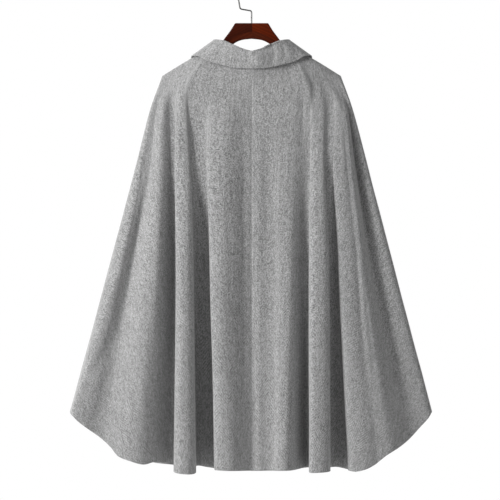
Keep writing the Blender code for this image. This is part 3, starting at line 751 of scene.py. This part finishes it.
def wool_finish():
    """Grey and white herringbone: a 2 and 2 twill that turns back at each column, with a soft face."""
    nap = {"Sheen_Weight": 0.30, "Sheen_Roughness": 0.45, "Specular_IOR_Level": 0.25}
    finish = Finish("herringbone_wool", Roughness=0.88, **nap)
    u, v, _ = finish.parts(finish.node("ShaderNodeUVMap", {"uv_map": "cut"}))
    coarse = finish.noise(finish.vector(u, v), 55.0, 2.0)
    u2 = u + (coarse - 0.5) * 0.0012
    v2 = v + (coarse - 0.5) * 0.0024
    folded = finish.math("PINGPONG", u2, HERRINGBONE_COLUMN)
    twill = (folded / WARP_YARN + v2 / WEFT_YARN) / TWILL_REPEAT
    wave = finish.math("SINE", twill * (2 * math.pi))
    float_share = finish.step(wave, -0.6, 0.6)
    warp = finish.math("SINE", u2 * (2 * math.pi / WARP_YARN))
    weft = finish.math("SINE", v2 * (2 * math.pi / WEFT_YARN))
    warp_number = finish.math("FLOOR", u2 / WARP_YARN)
    weft_number = finish.math("FLOOR", v2 / WEFT_YARN)
    stitch = finish.white_noise(warp_number, weft_number)
    float_number = finish.math("FLOOR", (v2 / WEFT_YARN + folded / WARP_YARN) / TWILL_REPEAT)
    long_float = finish.white_noise(warp_number, float_number)
    flecks = finish.noise(finish.vector(u, v), 620.0, 2.0, 0.7)
    streaks = finish.noise(finish.vector(u * 215.0, v * 9.0), 1.0, 3.0, 0.65)
    lower = finish.step(v, *TWILL_CLEARS)
    cloud = finish.noise(finish.vector(u, v), 9.0, 3.0)
    clear = finish.step(finish.noise(finish.vector(u, v), 14.0, 1.0), 0.40, 0.66)
    share = 0.5 + (float_share - 0.5) * (lower * (clear * TWILL_PATCHES + TWILL_LOW) + TWILL_HIGH)
    share = share + (stitch - 0.5) * STITCHES + (long_float - 0.5) * LONG_FLOATS
    share = share + (flecks - 0.5) * FLECKS + (cloud - 0.5) * CLOUDS
    share = share + (streaks - 0.5) * (STREAKS_HIGH - lower * STREAKS_LOST_LOW)
    share = finish.math("MAXIMUM", finish.math("MINIMUM", share, 1.0), 0.0)
    colour = finish.mix(share, DARK_YARN, LIGHT_YARN)
    yarn_height = float_share * (abs(warp) * 0.5 + 0.5) + (1 - float_share) * (abs(weft) * 0.35 + 0.2)
    height = yarn_height * 0.10 + flecks * 0.6 + stitch * 0.3
    finish.give(Base_Color=colour, Normal=finish.bump(height, 0.40, 0.0006))
    finish.give(Roughness=finish.step(flecks, 0.2, 0.8) * 0.14 + 0.80)
    return finish.made


# The strip let in along the wood's arch: its highest point, how fast it falls from there, its half width
STRIP_TOP, STRIP_FALL, STRIP_HALF_WIDTH = -0.1262, 7.3, 0.075
# The grain runs down the arms at this slope, in degrees
ARM_SLOPE = 27
# Near-black for the dark joint lines, also used as painted shade on the wood's rounded rim
JOINT_LINE_AND_RIM_SHADE_DARK = (0.007, 0.0015, 0.0008, 1)


def mahogany_finish():
    """Two halves of dark red-brown wood glued at the middle, with a lighter strip along the arch."""
    varnish = {"Specular_IOR_Level": 0.08, "Coat_Weight": 0.12, "Coat_Roughness": 0.05}
    finish = Finish("varnished_mahogany", **varnish)
    place = finish.node("ShaderNodeTexCoord", None, None, 3)
    x, y, z = finish.parts(place)
    side = abs(x)
    lean = math.radians(ARM_SLOPE)
    run = side * math.cos(lean) - z * math.sin(lean)
    rise = side * math.sin(lean) + z * math.cos(lean)
    half = finish.step(x, -0.0012, -0.0008)
    wander = finish.noise(finish.vector(run * 9.0, rise * 40.0, y * 40.0 + half * 3.0), 1.0, 3.0)
    rings = finish.math("SINE", (rise + wander * 0.012 + y * 0.3) * 900.0)
    pores = finish.noise(finish.vector(run * 40.0, rise * 900.0, y * 900.0), 1.0, 2.0, 0.6)
    grain = rings * 0.22 + wander * 0.9 + (pores - 0.5) * 0.7
    grain = finish.math("MAXIMUM", finish.math("MINIMUM", grain, 1.0), 0.0)
    dark = finish.mix(grain, (0.070, 0.0090, 0.0022, 1), (0.170, 0.0210, 0.0050, 1))
    warm = finish.mix(grain, (0.190, 0.0190, 0.0011, 1), (0.420, 0.0450, 0.0034, 1))
    body = finish.mix(half, warm, dark)
    arch = STRIP_TOP - x * x * STRIP_FALL
    band = finish.step(arch - z, 0.0, 0.0008) * (side < STRIP_HALF_WIDTH)
    strip = finish.mix(grain, (0.130, 0.0160, 0.0040, 1), (0.320, 0.0500, 0.0120, 1))
    body = finish.mix(band, body, strip)
    arch_line = 1 - finish.step(abs(z - arch), 0.0003, 0.0011)
    arch_line = arch_line * (side < STRIP_HALF_WIDTH)
    middle = 1 - finish.step(abs(x + 0.001), 0.0003, 0.0010)
    middle = middle * finish.step(z, STRIP_TOP - 0.0004, STRIP_TOP + 0.0004)
    line = finish.math("MAXIMUM", arch_line, middle)
    # Painted shade: the rounded rim, where the wood turns away from the camera, is darkened in its
    # colour; the joint lines are real dark joints
    edge = finish.step(abs(y), 0.0030, 0.0066)
    joint_lines_and_painted_rim_shade = finish.math("MAXIMUM", line * 0.9, edge * 0.75)
    colour = finish.mix(joint_lines_and_painted_rim_shade, body, JOINT_LINE_AND_RIM_SHADE_DARK)
    finish.give(Base_Color=colour)
    finish.give(Normal=finish.bump(pores * 0.25 - line * 0.8, 0.25, 0.0004))
    finish.give(Roughness=pores * 0.16 + 0.26)
    return finish.made


def steel_finish():
    finish = Finish("drawn_steel_wire", Roughness=0.3, Metallic=1.0)
    place = finish.node("ShaderNodeTexCoord", None, None, 3)
    x, y, z = finish.parts(place)
    drawn = finish.noise(finish.vector(x * 900.0, y * 900.0, z * 60.0), 1.0, 2.0)
    worn = finish.noise(place, 180.0, 3.0)
    colour = finish.mix(drawn * 0.6 + worn * 0.4, (0.05, 0.05, 0.049, 1), (0.15, 0.15, 0.147, 1))
    finish.give(Base_Color=colour, Roughness=drawn * 0.25 + 0.22)
    finish.give(Normal=finish.bump(drawn, 0.15, 0.0002))
    return finish.made


def smooth_outline(points, between):
    """A rounder line through the same points."""
    points = np.array(points)
    padded = np.vstack([2 * points[0] - points[1], points, 2 * points[-1] - points[-2]])
    made = []
    for before, here, after, beyond in zip(padded, padded[1:], padded[2:], padded[3:]):
        for t in np.arange(between) / between:
            curve = 2 * here + (after - before) * t
            curve = curve + (2 * before - 5 * here + 4 * after - beyond) * t * t
            made.append(0.5 * (curve + (3 * here - before - 3 * after + beyond) * t**3))
    return np.vstack([made, points[-1:]])


def hanger_body(finish):
    """The wooden hanger: half its outline drawn and filled, then thickened, mirrored and rounded."""
    outline = np.vstack([[[0.0, WOOD_OUTLINE[0][1]]], smooth_outline(WOOD_OUTLINE, 3)])
    depth = WOOD_THICKNESS / 2
    bpy.ops.mesh.primitive_plane_add(size=0.001, location=(0, 0, 0))
    made = bpy.context.object
    made.name = "hanger_body"
    bpy.ops.object.mode_set(mode="EDIT")
    bpy.ops.mesh.select_all(action="SELECT")
    bpy.ops.mesh.merge(type="CENTER")
    bpy.ops.transform.translate(value=(outline[0, 0], -depth, outline[0, 1]))
    for before, here in zip(outline, outline[1:]):
        step = here - before
        bpy.ops.mesh.extrude_vertices_move(TRANSFORM_OT_translate={"value": (step[0], 0, step[1])})
    bpy.ops.mesh.select_all(action="SELECT")
    bpy.ops.mesh.edge_face_add()
    bpy.ops.mesh.extrude_region_move(TRANSFORM_OT_translate={"value": (0, WOOD_THICKNESS, 0)})
    bpy.ops.object.mode_set(mode="OBJECT")
    shape = bmesh.new()
    shape.from_mesh(made.data)
    wall = [face for face in shape.faces if all(abs(vert.co.x) < 1e-6 for vert in face.verts)]
    bmesh.ops.delete(shape, geom=wall, context="FACES_ONLY")
    bmesh.ops.recalc_face_normals(shape, faces=shape.faces)
    shape.to_mesh(made.data)
    shape.free()
    mirror = made.modifiers.new("other half", "MIRROR")
    mirror.use_axis = (True, False, False)
    mirror.merge_threshold = 0.00001
    bpy.ops.object.modifier_apply(modifier=mirror.name)
    bpy.ops.object.mode_set(mode="EDIT")
    bpy.ops.mesh.select_all(action="SELECT")
    bpy.ops.mesh.normals_make_consistent(inside=False)
    bpy.ops.object.mode_set(mode="OBJECT")
    rounding = made.modifiers.new("rounded edges", "BEVEL")
    rounding.width = WOOD_ROUNDING
    rounding.segments = 4
    rounding.limit_method = "ANGLE"
    rounding.angle_limit = math.radians(50)
    bpy.ops.object.modifier_apply(modifier=rounding.name)
    bpy.ops.object.shade_smooth_by_angle(angle=math.radians(35))
    made.data.materials.clear()
    made.data.materials.append(finish)
    made.select_set(False)
    return made


def plain_finish(name, tone):
    finish = Finish(name, Roughness=0.9)
    place = finish.node("ShaderNodeTexCoord", None, None, 3)
    mottle = finish.noise(place, 3.0, 3.0)
    finish.give(Base_Color=finish.mix(mottle, grey(tone * 0.985), grey(tone)))
    return finish.made


def aim(made, target):
    made.rotation_euler = (Vector(target) - made.location).to_track_quat("-Z", "Y").to_euler()


def area_light(name, place, target, size, power):
    light = bpy.data.lights.new(name, "AREA")
    light.shape = "RECTANGLE"
    light.size, light.size_y = size
    light.energy = power
    made = bpy.data.objects.new(name, light)
    made.location = place
    made.visible_camera = False
    bpy.context.scene.collection.objects.link(made)
    aim(made, target)


def studio():
    place = (0, 0, FLOOR_Z)
    bpy.ops.mesh.primitive_circle_add(
        vertices=128, radius=FLOOR_RADIUS, fill_type="NGON", location=place
    )
    floor = bpy.context.object
    floor.name = "studio_floor"
    floor.data.materials.append(plain_finish("pale_floor", 0.80))
    floor.select_set(False)
    camera = bpy.data.cameras.new("camera")
    camera.sensor_width = SENSOR
    camera.lens = SENSOR * CAMERA_DISTANCE / VIEW_WIDTH
    camera.clip_end = 100
    made = bpy.data.objects.new("camera", camera)
    made.location = (VIEW_CENTRE[0], CAMERA_DISTANCE, VIEW_CENTRE[1])
    made.rotation_euler = (math.radians(90), 0, math.radians(180))
    bpy.context.scene.collection.objects.link(made)
    bpy.context.scene.camera = made
    middle = (0, 0, -0.7)
    area_light("window_left", (4.3, 2.6, 0.7), middle, (1.4, 2.4), 330)
    area_light("soft_right", (-3.0, 3.6, 0.0), middle, (2.4, 2.8), 40)
    area_light("front_side", (1.5, -4.0, 1.0), middle, (2.5, 2.5), 150)
    area_light("overhead", (0.4, 0.6, 3.2), middle, (2.4, 2.4), 60)
    world = bpy.data.worlds.new("studio")
    bpy.context.scene.world = world
    world.use_nodes = True
    nodes, links = world.node_tree.nodes, world.node_tree.links
    room = nodes["Background"]
    room.inputs["Color"].default_value = (1, 1, 1, 1)
    room.inputs["Strength"].default_value = ROOM_LIGHT
    white = nodes.new("ShaderNodeBackground")
    white.inputs["Color"].default_value = (1, 1, 1, 1)
    white.inputs["Strength"].default_value = BACKDROP_LIGHT
    seen = nodes.new("ShaderNodeLightPath")
    both = nodes.new("ShaderNodeMixShader")
    links.new(seen.outputs["Is Camera Ray"], both.inputs[0])
    links.new(room.outputs[0], both.inputs[1])
    links.new(white.outputs[0], both.inputs[2])
    links.new(both.outputs[0], nodes["World Output"].inputs["Surface"])
    bpy.context.scene.view_settings.view_transform = "Standard"


def dress(piece, node):
    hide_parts(node)
    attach(piece, "root")


studio()
wool = wool_finish()
cut = (BACK_LEFT, BACK_LEFT_HEM, BACK_LEFT_CREASES)
back_left = panel("back_left_panel", *cut, 1, 1, 1.0, wool)
cut = (BACK_RIGHT, BACK_RIGHT_HEM, BACK_RIGHT_CREASES)
back_right = panel("back_right_panel", *cut, -1, 1, 2.0, wool)
cut = (FRONT_LEFT, FRONT_LEFT_HEM, FRONT_LEFT_CREASES)
front_left = panel("front_left_panel", *cut, 1, -1, 3.0, wool)
cut = (FRONT_RIGHT, FRONT_RIGHT_HEM, FRONT_RIGHT_CREASES)
front_right = panel("front_right_panel", *cut, -1, -1, 4.0, wool)
fall = collar_fall(wool)
stand = collar_stand(wool)
body = hanger_body(mahogany_finish())

dress(back_left, "back_left")
dress(back_right, "back_right")
dress(front_left, "front_left")
dress(front_right, "front_right")
dress(fall, "collar_fall")
dress(stand, "collar_stand")
dress(body, "hanger_wood")
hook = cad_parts["hanger_hook"]
hook.data.materials[0] = steel_finish()
